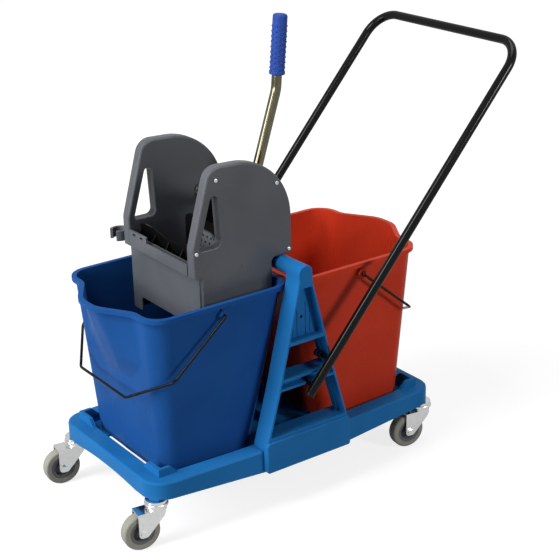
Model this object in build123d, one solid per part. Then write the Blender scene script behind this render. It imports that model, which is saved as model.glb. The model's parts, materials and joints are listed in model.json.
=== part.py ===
from build123d import *
import os
from math import cos, hypot, radians, sin, sqrt

# Double-bucket mopping trolley with a lever press.
# X runs along the trolley with the press end at -X, Y across it, Z up from the floor.
# Every piece is drawn about the middle of the base; all are shifted together at the end.

# Running and seating clearances
running = 0.05
seat = 0.05
lift_gap = 0.3

# Base trays
base_length = 747.0
base_half_mid = 207.5
base_taper = 11.5
base_half_end = base_half_mid - base_taper
base_corner_r = 48.0
deck_z = 145.0
deck_t = 4.0
skirt_t = 4.0
skirt_low_z = 94.0
rim_w = 36.0
end_rim_w = 39.5
mid_rim_w = 14.0
well_floor_z = 128.0
well_floor_t = 4.0
upstand_h = 17.0
upstand_t = 8.0
upstand_arm_x = 28.0
upstand_arm_y = 46.0
floor_slot_gap = 8.0
floor_slot_w = 15.0
floor_slot_half = 86.0
floor_hole_margin = 45.0
floor_hole_inner = 30.0

# Buckets
bucket_top_z = 487.0
bucket_wall = 3.0
bucket_side_room = 24.5
bucket_flare = 24.5
bucket_half_low = base_half_mid - rim_w - bucket_side_room
bucket_half_top = bucket_half_low + bucket_flare
bucket_inner_top = 10.5
bucket_inner_low = 93.0
bucket_end_room = 21.0
bucket_end_flare = 26.0
bucket_outer_low = base_length / 2 - end_rim_w - bucket_end_room
bucket_outer_top = bucket_outer_low + bucket_end_flare
bucket_r_top = 42.0
bucket_r_low = 32.0
bucket_rim_w = 7.5
bucket_rim_t = 3.5
bucket_lip_h = 9.0
spout_side = 67.5
spout_half = bucket_half_top - spout_side
spout_flat = 27.0
spout_reach = 47.0
spout_h = 169.0
spout_low_z = bucket_top_z - spout_h
spout_root_r = 48.0
spout_tip_r = 62.0

# Bails
bail_d = 6.0
bail_pivot_x = (bucket_inner_top + bucket_outer_top) / 2 + 2.25
bail_drop = 24.0
bail_pivot_z = bucket_top_z - bail_drop
bail_rest_deg = 40.0
bail_end_gap = 27.2
bail_reach = (bucket_outer_top - bail_pivot_x + bail_end_gap) / cos(radians(bail_rest_deg))
bail_bow = 79.0
bail_arm = bail_reach - bail_bow
bail_grip_half = 93.0
ear_d = 18.0
ear_reach = 10.0
ear_out_y = bucket_half_top + ear_reach
bail_side_gap = 5.5
bail_side_y = ear_out_y + bail_side_gap

# Castors
castor_end_inset = 19.5
castor_side_inset = 25.0
castor_x = base_length / 2 - castor_end_inset
castor_y = base_half_end - castor_side_inset
castor_h = 105.0
castor_trail = 38.0
castor_yaw = -8.0
wheel_d = 80.0
tyre_w = 24.0
tyre_depth = 13.0
hub_length = 29.0
hub_rim_w = 7.0
axle_d = 8.0
king_pin_d = 10.0
stem_d = 12.0
stem_length = 24.0
mount_disc_d = 46.0
mount_disc_t = 6.0
fork_t = 2.5
fork_side_gap = 0.5
fork_nose_r = 9.5
race_d = 50.0
race_h = 13.0

# Side frames, crossbar
foot_half = 110.0
foot_t = 13.5
frame_depth = 45.0
frame_proud = 9.5
frame_face_y = base_half_mid + frame_proud
bar_over_rim = 32.0
bar_z = bucket_top_z + bar_over_rim
bar_d = 34.0
bar_wall = 3.5
bar_seat_depth = 20.0
apex_margin = 0.4
leg_w = 5.5
web_set = 19.0
web_t = 5.0
web_border = 4.5
frame_knee_x = 75.0
rail_low_z = 272.0
rail_high_z = 297.0
rail_shelf_t = 5.0
panel_drop = 151.0
panel_low_z = bar_z - panel_drop
panel_frame_w = 7.5
sill_z = 172.0
web_hole_d = 7.0
web_hole_drop = 101.0
web_hole_z = bar_z - web_hole_drop
panel_rib_w = 1.8
panel_rib_h = 1.2
panel_rib_pitch = 11.0

# Push handle
handle_d = 20.0
handle_wall = 1.5
handle_gap = 10.0
handle_y = frame_face_y + handle_gap + handle_d / 2
handle_foot_x = -9.3
handle_foot_z = 258.0
handle_top_x = 569.0
handle_top_z = 910.0
handle_bend_r = 62.0
handle_bolt_d = 6.0
handle_bolt_low = 18.0
handle_bolt_high = 83.0
handle_nut_w = 10.0
handle_nut_room = 1.5
spacer_neck_d = 9.0
spacer_foot_d = 16.0
spacer_foot_t = 8.0
low_lug_d = 21.0
high_lug_d = 13.0
knob_d = 15.0
knob_h = 8.0

# Press body
press_side_gap = 9.0
press_half = bucket_half_low - press_side_gap
plate_t = 25.0
plate_edge_r = 5.0
window_edge_r = 2.5
press_drop = 96.0
press_low_z = bucket_top_z - press_drop
press_front_x = 200.0
press_chin_x = 218.0
press_step_h = 47.0
press_step_z = bucket_top_z + press_step_h
press_kink_h = 111.0
press_kink_z = bucket_top_z + press_kink_h
press_rise = 271.0
press_top_z = bucket_top_z + press_rise
press_back_x = 24.0
press_tail_gap = 9.0
panel_t = 4.0
panel_band_h = 26.0
panel_top_z = press_step_z + panel_band_h
panel_tab_h = 13.0
panel_raised_z = panel_top_z + panel_tab_h
panel_leg_w = 34.0
panel_leg_h = 29.0
panel_legs_z = press_low_z + panel_leg_h
rear_inset = 11.0
rear_panel_lift = 3.0
rear_panel_h = 59.0
rear_flange = 8.0
press_screw_d = 4.0

# Fixed jaw
fixed_gap_top = 9.0
fixed_gap_low = 35.0
fixed_t = 4.0
fixed_foot_h = 35.0
fixed_rise = 6.0
fixed_crest_y = 67.0
fixed_wave = 5.5
fixed_hole_d = 8.0
fixed_hole_foot = 60.0
fixed_hole_pitch = 28.0

# Moving jaw and lever
jaw_x = 97.0
jaw_pivot_x = 85.0
jaw_pivot_h = 34.0
jaw_pivot_z = press_low_z + jaw_pivot_h
jaw_shaft_d = 12.0
jaw_half = 77.0
jaw_h = 171.0
jaw_top_z = jaw_pivot_z + jaw_h
jaw_corner_r = 18.0
jaw_t = 6.0
face_half = 41.0
face_h = 151.0
face_top_z = jaw_pivot_z + face_h
face_t = 5.0
face_hole_d = 6.5
face_hole_edge = 11.0
face_hole_pitch = 15.0
face_row_pitch = 13.0
lever_d = 22.0
lever_wall = 2.0
lever_eye_x = -100.0
lever_eye_h = 68.0
lever_eye_z = jaw_top_z + lever_eye_h
lever_corner_x = 20.0
lever_arm_drop = 30.0
lever_corner_z = lever_eye_z - lever_arm_drop
grip_d = 31.0
grip_length = 126.0
lever_bare = 27.0
lever_top_x = 106.0
lever_top_z = 998.0
lever_bend_x = 91.0
lever_bend_z = lever_top_z - grip_length - lever_bare
lever_bend_low_r = 34.0
lever_bend_high_r = 70.0
blade_w = 34.0
blade_t = 6.0
blade_length = 60.0
lever_bolt_d = 8.0
lever_head_d = 26.0
lever_head_h = 7.0
lever_bolt_pitch = 42.0

# Mop clip
clip_d = 28.0
clip_wall = 6.0
clip_h = 22.0
clip_back = 6.0
clip_stand = 8.0
clip_lift = 3.0
clip_x = clip_back - press_chin_x
clip_y = press_half + clip_stand + clip_wall + clip_d / 2
clip_z = press_step_z + clip_lift


def block(x0, x1, y0, y1, z0, z1):
    middle = Pos((x0 + x1) / 2, (y0 + y1) / 2, (z0 + z1) / 2)
    return middle * Box(abs(x1 - x0), abs(y1 - y0), abs(z1 - z0))


def rod_x(r, y, z, x0, x1):
    return Pos((x0 + x1) / 2, y, z) * Rot(0, 90, 0) * Cylinder(r, abs(x1 - x0))


def rod_y(r, x, z, y0, y1):
    return Pos(x, (y0 + y1) / 2, z) * Rot(90, 0, 0) * Cylinder(r, abs(y1 - y0))


def rod_z(r, x, y, z0, z1):
    return Pos(x, y, (z0 + z1) / 2) * Cylinder(r, abs(z1 - z0))


def hex_y(across, x, z, y0, y1):
    face = Pos(x, z) * RegularPolygon(across / sqrt(3), 6)
    return slab_y(face, y0, y1)


def outline(corners):
    points = [(u, v) for u, v, r in corners]
    radii = [r for u, v, r in corners]
    return make_face(FilletPolyline(*points, radius=radii, close=True))


def slab_y(face, y0, y1):
    # A face drawn in x and z, thick from y0 to y1
    return Pos(0, y1, 0) * extrude(Plane.XZ * face, abs(y1 - y0), dir=(0, -1, 0))


def slab_x(face, x0, x1):
    # A face drawn in y and z, thick from x0 to x1
    return Pos(x0, 0, 0) * extrude(Plane.YZ * face, abs(x1 - x0), dir=(1, 0, 0))


def slab_z(face, z0, z1):
    return Pos(0, 0, z0) * extrude(face, abs(z1 - z0), dir=(0, 0, 1))


def both_sides(shape):
    return [shape, mirror(shape, about=Plane.XZ)]


def group(shapes):
    solids = [s for shape in shapes for s in shape.solids()]
    return Compound(children=solids)


nodes = {}

# Base: two moulded trays, mirror images that meet in the middle


def tray_plan(side, end, middle, r):
    x_end = -(base_length / 2 - end)
    half_mid = base_half_mid - side
    half_end = base_half_end - side
    corners = [
        (-middle, -half_mid, 0),
        (-foot_half, -half_mid, 0),
        (x_end, -half_end, r),
        (x_end, half_end, r),
        (-foot_half, half_mid, 0),
        (-middle, half_mid, 0),
    ]
    return outline(corners)


skirt_end_z = castor_h + 2.5
well_r = 14.0
tray_block = slab_z(tray_plan(0, 0, 0, base_corner_r), skirt_low_z, deck_z)
top_edges = tray_block.edges().filter_by_position(Axis.Z, deck_z - 0.1, deck_z + 0.1)
top_edges = top_edges.filter_by(lambda e: abs(e.center().X) > 1)
tray_block = fillet(top_edges, 6)
under = slab_z(tray_plan(skirt_t, skirt_t, skirt_t, base_corner_r - skirt_t), skirt_low_z, deck_z - deck_t)
well_cup = slab_z(
    tray_plan(rim_w - skirt_t, end_rim_w - skirt_t, mid_rim_w - skirt_t, well_r + skirt_t),
    well_floor_z - well_floor_t,
    deck_z - deck_t / 2,
)
well = slab_z(tray_plan(rim_w, end_rim_w, mid_rim_w, well_r), well_floor_z, deck_z)
tray = tray_block - under + well_cup - well

# The skirt's lower edge climbs toward the end, and the end skirt is arched
x_end = -base_length / 2
climb = outline(
    [
        (-foot_half, skirt_low_z - 1, 0),
        (-foot_half, skirt_low_z, 0),
        (x_end + base_corner_r / 2, skirt_end_z, 0),
        (x_end - 1, skirt_end_z, 0),
        (x_end - 1, skirt_low_z - 1, 0),
    ]
)
tray -= slab_y(climb, -base_half_mid - 1, base_half_mid + 1)
arch_half = base_half_end - base_corner_r - 20
arch = make_face(
    [
        ThreePointArc((-arch_half, skirt_end_z - 1), (0, skirt_end_z + 7), (arch_half, skirt_end_z - 1)),
        Line((arch_half, skirt_end_z - 1), (-arch_half, skirt_end_z - 1)),
    ]
)
tray -= slab_x(arch, x_end - 1, x_end + skirt_t + 1)

# Openings in the well floor: a slot along the end wall and a large hole under the bucket
slot_x0 = x_end + end_rim_w + floor_slot_gap
slot_x1 = slot_x0 + floor_slot_w
slot = outline(
    [
        (slot_x0, -floor_slot_half, 5),
        (slot_x1, -floor_slot_half, 5),
        (slot_x1, floor_slot_half, 5),
        (slot_x0, floor_slot_half, 5),
    ]
)
tray -= slab_z(slot, well_floor_z - well_floor_t - 1, well_floor_z + 1)
hole_x0 = -bucket_outer_low + floor_hole_margin
hole_x1 = -bucket_inner_low - floor_hole_inner
hole_half = bucket_half_low - floor_hole_margin
hole = outline(
    [
        (hole_x0, -hole_half, 14),
        (hole_x1, -hole_half, 14),
        (hole_x1, hole_half, 14),
        (hole_x0, hole_half, 14),
    ]
)
tray -= slab_z(hole, well_floor_z - well_floor_t - 1, well_floor_z + 1)

# L-shaped upstands at the two outer corners of the well
up_x = x_end + end_rim_w
up_y = base_half_end - rim_w
arm_x = outline(
    [
        (up_x - upstand_t, deck_z - 1, 0),
        (up_x - upstand_t, deck_z + upstand_h, 3),
        (up_x - upstand_t + upstand_arm_x, deck_z + upstand_h, 8),
        (up_x - upstand_t + upstand_arm_x + 18, deck_z - 1, 0),
    ]
)
arm_y = outline(
    [
        (-up_y - upstand_t, deck_z - 1, 0),
        (-up_y - upstand_t, deck_z + upstand_h, 3),
        (-up_y - upstand_t + upstand_arm_y, deck_z + upstand_h, 8),
        (-up_y - upstand_t + upstand_arm_y + 18, deck_z - 1, 0),
    ]
)
upstand = slab_y(arm_x, -up_y - upstand_t, -up_y) + slab_x(arm_y, up_x - upstand_t, up_x)
for piece in both_sides(upstand):
    tray += piece

# Bosses for the castor stems, kept inside the skirt
boss = rod_z(stem_d / 2 + 9, -castor_x, -castor_y, castor_h, deck_z - deck_t / 2)
boss_room = slab_z(tray_plan(1, 1, 1, base_corner_r - 1), castor_h, deck_z - deck_t / 2)
boss = (boss & boss_room) - rod_z(stem_d / 2 + seat, -castor_x, -castor_y, castor_h, castor_h + stem_length + 1)
for piece in both_sides(boss):
    tray += piece

# Screw holes for the side frames' feet
foot_screw_x = [foot_half * 0.32, foot_half * 0.78]
foot_screw_z = skirt_low_z + 19
foot_screw_d = 6.0
for x in foot_screw_x:
    tray -= rod_y(foot_screw_d / 2 + seat, -x, foot_screw_z, -base_half_mid - 1, base_half_mid + 1)
nodes["front_tray"] = tray
nodes["rear_tray"] = mirror(tray, about=Plane.YZ)


# Side frames: an outer wall round a set-back web, two windows, a foot outside the tray skirt


def edge_x(z):
    # Half width of the frame at a height
    knee_low = deck_z + 5
    shoulder_z = bar_z - 19
    apex = bar_d / 2 + apex_margin
    if z <= knee_low:
        return foot_half
    if z <= rail_low_z:
        return foot_half + (frame_knee_x - foot_half) * (z - knee_low) / (rail_low_z - knee_low)
    if z <= shoulder_z:
        return frame_knee_x + (apex - frame_knee_x) * (z - rail_low_z) / (shoulder_z - rail_low_z)
    return apex


def frame_band(z0, z1, inset, r):
    # The frame's outline between two heights, drawn in by an inset on both sloping sides
    low = edge_x(z0) - inset
    high = edge_x(z1) - inset
    return outline([(-low, z0, r), (low, z0, r), (high, z1, r), (-high, z1, r)])


y_out = -frame_face_y
y_in = -frame_face_y + frame_depth
y_web = -frame_face_y + web_set
y_web_in = y_web + web_t
apex_r = bar_d / 2 + apex_margin
shoulder_z = bar_z - 19
frame_outline = outline(
    [
        (-foot_half, deck_z, 0),
        (foot_half, deck_z, 0),
        (foot_half, deck_z + 5, 20),
        (frame_knee_x, rail_low_z, 250),
        (apex_r, shoulder_z, 60),
        (apex_r, bar_z, 0),
        (-apex_r, bar_z, 0),
        (-apex_r, shoulder_z, 60),
        (-frame_knee_x, rail_low_z, 250),
        (-foot_half, deck_z + 5, 20),
    ]
)
frame_outline = frame_outline + Pos(0, bar_z) * Circle(apex_r)
frame = slab_y(frame_outline, y_out, y_in)
front_edges = frame.edges().filter_by_position(Axis.Y, y_out - 0.1, y_out + 0.1)
front_edges = front_edges.filter_by(lambda e: e.center().Z > deck_z + 1)
frame = fillet(front_edges, 2.5)

# Windows: open to the wall on both faces of the web, with a border of web left along the legs
for z0, z1, r in ((sill_z, rail_low_z, 9), (rail_high_z, panel_low_z, 7)):
    frame -= slab_y(frame_band(z0, z1, leg_w, 3), y_out - 1, y_web)
    frame -= slab_y(frame_band(z0, z1, leg_w + web_border, r), y_web - 1, y_web_in + 1)
    frame -= slab_y(frame_band(z0, z1, leg_w, 3), y_web_in, y_in + 1)

# Pockets over the panel and the rail on both faces of the web, and behind the sill
panel = frame_band(panel_low_z + panel_frame_w, shoulder_z - 12, leg_w, 5)
rail = frame_band(rail_low_z + rail_shelf_t, rail_high_z - rail_shelf_t, leg_w, 2)
for pocket in (panel, rail):
    frame -= slab_y(pocket, y_out - 1, y_web)
    frame -= slab_y(pocket, y_web_in, y_in + 1)
sill = frame_band(deck_z + 6, sill_z - 6, leg_w + 2, 2)
frame -= slab_y(sill, y_web_in, y_in + 1)

# Low upright ribs on the panel, and the plain hole in it
panel_rib_top = shoulder_z - 52
for k in (-2, -1, 1, 2):
    x = k * panel_rib_pitch
    rib_low = panel_low_z + panel_frame_w - 1
    frame += block(x - panel_rib_w / 2, x + panel_rib_w / 2, y_web - panel_rib_h, y_web + 1, rib_low, panel_rib_top)
frame -= rod_y(web_hole_d / 2, 0, web_hole_z, y_out - 1, y_in + 1)

# Foot plate outside the tray skirt, with blind screw holes
foot_outline = outline(
    [
        (-foot_half, skirt_low_z, 6),
        (foot_half, skirt_low_z, 6),
        (foot_half, deck_z + 12, 0),
        (foot_half - 6, deck_z + 19, 0),
        (-foot_half + 6, deck_z + 19, 0),
        (-foot_half, deck_z + 12, 0),
    ]
)
foot = slab_y(foot_outline, -base_half_mid - foot_t, -base_half_mid)
foot_edges = foot.edges().filter_by_position(Axis.Y, -base_half_mid - foot_t - 0.1, -base_half_mid - foot_t + 0.1)
foot = fillet(foot_edges, 2.5)
frame += foot
screw_depth = 9.0
for x in foot_screw_x:
    for s in (-1, 1):
        end = -base_half_mid - screw_depth
        frame -= rod_y(foot_screw_d / 2 + seat, s * x, foot_screw_z, end - 0.5, -base_half_mid + 1)

# Seat and spigot for the crossbar
frame -= rod_y(bar_d / 2 + seat, 0, bar_z, y_in - bar_seat_depth, y_in + 1)
frame += rod_y(bar_d / 2 - bar_wall - seat, 0, bar_z, y_in - bar_seat_depth - 1, y_in + 4)

# Lugs for the handle bolts, and black spacers whose feet stand on the web
lean = hypot(handle_top_x - handle_foot_x, handle_top_z - handle_foot_z)
lean_x = (handle_top_x - handle_foot_x) / lean
lean_z = (handle_top_z - handle_foot_z) / lean
low_bolt = (handle_foot_x + lean_x * handle_bolt_low, handle_foot_z + lean_z * handle_bolt_low)
high_bolt = (handle_foot_x + lean_x * handle_bolt_high, handle_foot_z + lean_z * handle_bolt_high)
tube_line = Plane(
    origin=(handle_foot_x, -handle_y, handle_foot_z),
    x_dir=(0, 1, 0),
    z_dir=(lean_x, 0, lean_z),
)
saddle_cut = tube_line * Pos(0, 0, 60) * Cylinder(handle_d / 2 + seat, 300)
high_r = high_lug_d / 2
lug = rod_y(high_r, high_bolt[0], high_bolt[1], y_web, y_web_in)
lug_x = edge_x(high_bolt[1] + high_r) - leg_w / 2
lug += block(high_bolt[0], lug_x, y_web, y_web_in, high_bolt[1] - high_r, high_bolt[1] + high_r)
lug += rod_y(low_lug_d / 2, low_bolt[0], low_bolt[1], y_web, y_web_in)
lug += block(low_bolt[0] - high_r, low_bolt[0] + high_r, y_web, y_web_in, low_bolt[1], rail_high_z - 1)
frame += lug
nut_room_r = handle_nut_w / sqrt(3) + handle_nut_room
frame -= rod_y(nut_room_r, low_bolt[0], low_bolt[1], y_web_in, y_in + 1)
spacers = []
for x, z in (low_bolt, high_bolt):
    hole = rod_y(handle_bolt_d / 2 + seat, x, z, -handle_y, y_in + 1)
    frame -= hole + rod_y(spacer_foot_d / 2 + seat, x, z, y_out - 1, y_web)
    neck = rod_y(spacer_neck_d / 2, x, z, -handle_y + handle_d * 0.15, y_web) - saddle_cut
    foot = rod_y(spacer_foot_d / 2, x, z, y_web - spacer_foot_t, y_web)
    foot = fillet(foot.edges().filter_by_position(Axis.Y, y_web - spacer_foot_t - 0.1, y_web - 1), 2)
    spacers += both_sides(neck + foot - hole)
nodes["handle_spacers"] = group(spacers)
nodes["near_side_frame"] = frame
nodes["far_side_frame"] = mirror(frame, about=Plane.XZ)

# Screws from inside the skirt into the feet
foot_screws = []
for x in foot_screw_x:
    for s in (-1, 1):
        head = -base_half_mid + skirt_t + seat
        screw = rod_y(foot_screw_d / 2, s * x, foot_screw_z, -base_half_mid - screw_depth, head)
        screw += hex_y(10, s * x, foot_screw_z, head, head + 4)
        foot_screws += both_sides(screw)
nodes["foot_screws"] = group(foot_screws)

# Crossbar tube, pushed over the frames' spigots
bar_half = -(y_in - bar_seat_depth)
crossbar = rod_y(bar_d / 2, 0, bar_z, -bar_half, bar_half)
crossbar -= rod_y(bar_d / 2 - bar_wall, 0, bar_z, -bar_half - 1, bar_half + 1)
nodes["crossbar"] = crossbar

# Push handle: one bent tube, drilled for two bolts at each foot


def handle_sweep(r):
    path = FilletPolyline(
        (handle_foot_x, -handle_y, handle_foot_z),
        (handle_top_x, -handle_y, handle_top_z),
        (handle_top_x, handle_y, handle_top_z),
        (handle_foot_x, handle_y, handle_foot_z),
        radius=handle_bend_r,
    )
    return sweep(tube_line * Circle(r), path=path)


handle = handle_sweep(handle_d / 2) - handle_sweep(handle_d / 2 - handle_wall)
for x, z in (low_bolt, high_bolt):
    for s in (-1, 1):
        handle -= rod_y(handle_bolt_d / 2 + seat, x, z, s * handle_y, s * (handle_y - handle_d))
nodes["push_handle"] = handle

# Bolts through web, spacer and the tube's inner wall; hexagon nuts below, low black knobs above
bolts = []
knobs = []
insert_r = handle_bolt_d / 2 + 2
bore_r = handle_d / 2 - handle_wall
insert_y = -handle_y + sqrt(bore_r ** 2 - insert_r ** 2) - seat
for x, z in (low_bolt, high_bolt):
    bolt = rod_y(insert_r, x, z, -handle_y - 2, insert_y)
    bolt += rod_y(handle_bolt_d / 2, x, z, -handle_y, y_web_in + knob_h - 2)
    if (x, z) == low_bolt:
        bolt += hex_y(handle_nut_w, x, z, y_web_in, y_web_in + 5)
    else:
        knob = rod_y(knob_d / 2, x, z, y_web_in, y_web_in + knob_h)
        knob = fillet(knob.edges().filter_by_position(Axis.Y, y_web_in + 1, y_web_in + knob_h + 1), 2)
        for k in range(6):
            flute = Rot(0, 60 * k, 0) * rod_y(2.5, knob_d / 2 + 0.9, 0, y_web_in - 1, y_web_in + knob_h + 1)
            knob -= Pos(x, 0, z) * flute
        knob -= rod_y(handle_bolt_d / 2 + seat, x, z, y_web_in - 1, y_web_in + knob_h - 1.5)
        knobs += both_sides(knob)
    bolts += both_sides(bolt)
nodes["handle_bolts"] = group(bolts)
nodes["handle_knobs"] = group(knobs)

plug = tube_line * Pos(0, 0, -2.5) * Cylinder(handle_d / 2 + 0.4, 5)
plug += tube_line * Pos(0, 0, 6) * Cylinder(handle_d / 2 - handle_wall - seat, 12.0)
nodes["handle_end_plugs"] = group(both_sides(plug))


# Castors: fixed mount with king pin, swivelling fork with axle, wheel of tyre and hub


def castor_pieces():
    wheel_r = wheel_d / 2
    wx = -castor_trail
    fork_half = hub_length / 2 + fork_side_gap
    race_top = castor_h - mount_disc_t - lift_gap
    race_low = race_top - race_h
    mount = rod_z(mount_disc_d / 2, 0, 0, castor_h - mount_disc_t, castor_h)
    mount += rod_z(stem_d / 2, 0, 0, castor_h - 1, castor_h + stem_length)
    mount += rod_z(king_pin_d / 2, 0, 0, race_low - 3 - lift_gap, castor_h - 1)
    mount += rod_z(king_pin_d / 2 + 3, 0, 0, race_low - 3 - lift_gap - 2.2, race_low - 3 - lift_gap)

    cup_low = race_low + race_h * 0.4
    race = rod_z(race_d / 2, 0, 0, cup_low, race_top)
    race = fillet(race.edges().filter_by(GeomType.CIRCLE), race_h * 0.22)
    race += rod_z(race_d / 2 - 4, 0, 0, race_low, cup_low + 2)
    crown_x0 = wx - fork_nose_r
    crown_x1 = race_d / 2 - 6
    crown = outline(
        [
            (crown_x0, -fork_half - fork_t, 0),
            (crown_x1, -fork_half - fork_t, 12),
            (crown_x1, fork_half + fork_t, 12),
            (crown_x0, fork_half + fork_t, 0),
        ]
    )
    fork = race + slab_z(crown, race_low - 3, race_low)
    cheek = outline(
        [
            (crown_x0, race_low - 1, 3),
            (crown_x1 - 4, race_low - 1, 4),
            (crown_x1 - 9, race_low - 15, 20),
            (wx + fork_nose_r, wheel_r - fork_nose_r, fork_nose_r * 0.8),
            (wx - fork_nose_r, wheel_r - fork_nose_r, fork_nose_r * 0.9),
        ]
    )
    for y in (-fork_half - fork_t, fork_half):
        plate = slab_y(cheek, y, y + fork_t)
        fork += plate - rod_y(axle_d / 2 + seat, wx, wheel_r, y - 1, y + fork_t + 1)
    fork -= rod_z(king_pin_d / 2 + running, 0, 0, race_low - 5, race_top + 1)

    outside = fork_half + fork_t
    axle = rod_y(axle_d / 2, wx, wheel_r, -outside, outside + 8)
    axle += hex_y(13, wx, wheel_r, -outside - 5, -outside)
    axle += hex_y(13, wx, wheel_r, outside, outside + 6)

    hub_r = wheel_r - tyre_depth
    tyre = rod_y(wheel_r, wx, wheel_r, -tyre_w / 2, tyre_w / 2)
    tyre = fillet(tyre.edges().filter_by(GeomType.CIRCLE), 5)
    tyre -= rod_y(hub_r, wx, wheel_r, -tyre_w, tyre_w)
    hub = rod_y(hub_r, wx, wheel_r, -tyre_w / 2 + 1, tyre_w / 2 - 1)
    for y0, y1 in ((-tyre_w / 2, -4), (4, tyre_w / 2)):
        dish = rod_y(hub_r - hub_rim_w, wx, wheel_r, y0, y1) - rod_y(axle_d / 2 + 5, wx, wheel_r, y0 - 1, y1 + 1)
        hub -= dish
    hub += rod_y(axle_d / 2 + 5, wx, wheel_r, -hub_length / 2, hub_length / 2)
    hub -= rod_y(axle_d / 2 + running, wx, wheel_r, -hub_length, hub_length)
    return {"mount": mount, "fork": fork, "axle": axle, "tyre": tyre, "hub": hub}


castor_places = {
    "front_near": (-castor_x, -castor_y),
    "front_far": (-castor_x, castor_y),
    "rear_near": (castor_x, -castor_y),
    "rear_far": (castor_x, castor_y),
}
castor = castor_pieces()
for place, (x, y) in castor_places.items():
    for name, piece in castor.items():
        nodes[place + "_castor_" + name] = Pos(x, y, 0) * Rot(0, 0, castor_yaw) * piece


# Buckets: tapering shells with a pouring spout, rolled rim and bail ears


def bucket_section(z, inset):
    # Rounded plan at a height; the spout bows out of the end wall, hardly at all below its foot
    t = (z - well_floor_z) / (bucket_top_z - well_floor_z)
    s = max((z - spout_low_z) / (bucket_top_z - spout_low_z), 0)
    inner = -(bucket_inner_low + (bucket_inner_top - bucket_inner_low) * t + inset)
    outer = -(bucket_outer_low + (bucket_outer_top - bucket_outer_low) * t - inset)
    half = bucket_half_low + (bucket_half_top - bucket_half_low) * t - inset
    r = bucket_r_low + (bucket_r_top - bucket_r_low) * t - inset
    swell = 0.5 + 0.5 * min(s / 0.3, 1)
    reach = 2 + (spout_reach - 2) * s ** 0.9
    lean = reach / ((spout_half - spout_flat) * swell)
    shrink = inset * lean / (1 + sqrt(1 + lean ** 2))
    root = spout_half * swell - shrink
    flat = spout_flat * swell - shrink
    corners = [
        (outer, -half, r),
        (inner, -half, r),
        (inner, half, r),
        (outer, half, r),
        (outer, root, spout_root_r + inset),
        (outer - reach, flat, spout_tip_r - inset),
        (outer - reach, -flat, spout_tip_r - inset),
        (outer, -root, spout_root_r + inset),
    ]
    return outline(corners)


def at_height(face, z):
    return Pos(0, 0, z) * face


def shell_loft(inset, z_low, z_high):
    rise = bucket_top_z - spout_low_z
    heights = [z_low] + [spout_low_z + rise * k for k in (0.0, 0.14, 0.3, 0.6)] + [z_high]
    return loft([at_height(bucket_section(z, inset), z) for z in heights], ruled=True)


over = 2.0
bucket = shell_loft(0, well_floor_z, bucket_top_z)
top_face = bucket_section(bucket_top_z, 0)
rim_face = offset(top_face, bucket_rim_w, kind=Kind.ARC)
lip_face = rim_face - offset(top_face, bucket_rim_w - 2.5, kind=Kind.ARC)
rim = slab_z(rim_face, bucket_top_z - bucket_rim_t, bucket_top_z)
rim += slab_z(lip_face, bucket_top_z - bucket_lip_h, bucket_top_z - 1)
bucket += rim
ear_x = -bail_pivot_x
ear = rod_y(ear_d / 2, ear_x, bail_pivot_z, -ear_out_y, -bucket_half_low)
ear += block(ear_x - 2, ear_x + 2, -ear_out_y + 6, -bucket_half_low, bail_pivot_z, bucket_top_z - 2)
for piece in both_sides(ear):
    bucket += piece
bucket -= shell_loft(bucket_wall, well_floor_z + bucket_wall, bucket_top_z + over)
pin_end_y = ear_out_y - 9
for s in (-1, 1):
    bucket -= rod_y(bail_d / 2 + running, ear_x, bail_pivot_z, s * (pin_end_y - 0.3), s * (ear_out_y + 1))
nodes["blue_bucket"] = bucket
nodes["red_bucket"] = mirror(bucket, about=Plane.YZ)


def bail_point(r, y):
    a = radians(bail_rest_deg)
    return (-bail_pivot_x - r * cos(a), y, bail_pivot_z - r * sin(a))


bail_path = FilletPolyline(
    bail_point(0, -pin_end_y),
    bail_point(0, -bail_side_y),
    bail_point(bail_arm, -bail_side_y),
    bail_point(bail_reach, -bail_grip_half),
    bail_point(bail_reach, bail_grip_half),
    bail_point(bail_arm, bail_side_y),
    bail_point(0, bail_side_y),
    bail_point(0, pin_end_y),
    radius=[4.5, 22, 16, 16, 22, 4.5],
)
bail_start = Plane(origin=bail_point(0, -pin_end_y), z_dir=(0, -1, 0))
bail = sweep(bail_start * Circle(bail_d / 2), path=bail_path)
nodes["blue_bail"] = bail
nodes["red_bail"] = mirror(bail, about=Plane.YZ)

# Press: thick side plates standing in the blue bucket and on the crossbar
front = -press_front_x
chin = -press_chin_x
bar_top = bar_z + bar_d / 2 + lift_gap
bar_front = -(bar_d / 2 + lift_gap)
wall_slope = (bucket_inner_low - bucket_inner_top) / (bucket_top_z - well_floor_z)
corner_reach = press_half - (bucket_half_low + bucket_half_top) / 2 + (bucket_r_low + bucket_r_top) / 2
corner_relief = bucket_r_low - sqrt(bucket_r_low ** 2 - max(corner_reach, 0) ** 2)
wall_gap = bucket_wall * sqrt(1 + wall_slope ** 2) + lift_gap + corner_relief
tail = -(bucket_inner_top + wall_gap + press_tail_gap)
tail_z = bucket_top_z - 17
tail_low = tail - (tail_z - press_low_z) * wall_slope
top_front = chin + (press_top_z - press_kink_z) * 0.287
plate_outline = outline(
    [
        (front, press_low_z, 5),
        (front, press_step_z, 0),
        (chin, press_step_z + 2, 0),
        (chin, press_kink_z, 40),
        (top_front, press_top_z, 34),
        (press_back_x, press_top_z - 8, 135),
        (press_back_x, bar_top, 4),
        (tail, bar_top, 10),
        (tail, tail_z, 20),
        (tail_low, press_low_z, 5),
    ]
)
window_outline = outline(
    [
        (chin + 14.7, press_kink_z - 8, 6),
        (chin + 68.7, press_kink_z - 8, 13),
        (chin + 61.5, press_top_z - 16.5, 9.3),
    ]
)
plate = slab_y(plate_outline, -press_half, -press_half + plate_t)
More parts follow.
